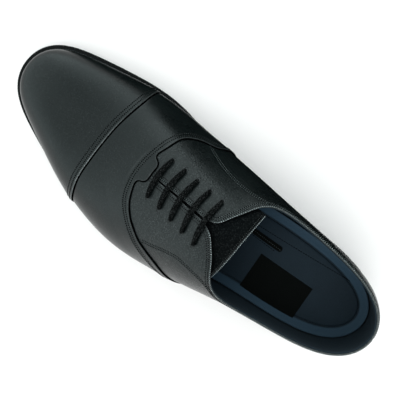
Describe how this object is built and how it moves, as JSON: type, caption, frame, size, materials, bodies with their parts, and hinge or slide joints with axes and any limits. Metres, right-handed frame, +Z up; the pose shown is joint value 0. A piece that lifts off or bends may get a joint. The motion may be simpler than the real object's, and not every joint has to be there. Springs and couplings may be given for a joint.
{
  "type": "dress shoe",
  "caption": "Left black leather closed-lacing dress shoe with a straight toe cap, welted sole and low stacked heel",
  "frame": {"origin": "middle of the footprint box of the shoe, on the floor", "axes": "+X to the toe, +Y to the little-toe side, +Z up"},
  "size_m": [0.3006, 0.1068, 0.0994],
  "materials": {
    "upper_leather": "smooth black calf, satin gloss",
    "tongue_leather": "fine grained black leather, matt",
    "sole_leather": "black dyed sole leather, waxed edge",
    "heel_leather": "black dyed stacked leather, waxed",
    "top_piece_rubber": "black rubber, matt",
    "lining": "dark blue lining leather, matt",
    "lace_cord": "round black waxed cord, woven"
  },
  "bodies": {
    "root": {"outsole": "sole_leather", "welt": "sole_leather", "heel_rand": "sole_leather", "heel_block": "heel_leather", "top_piece": "top_piece_rubber", "insole": "lining", "upper": "upper_leather", "tongue": "tongue_leather", "lace_bar_1": "lace_cord", "lace_bar_2": "lace_cord", "lace_bar_3": "lace_cord", "lace_bar_4": "lace_cord", "lace_bar_5": "lace_cord"}
  },
  "joints": []
}
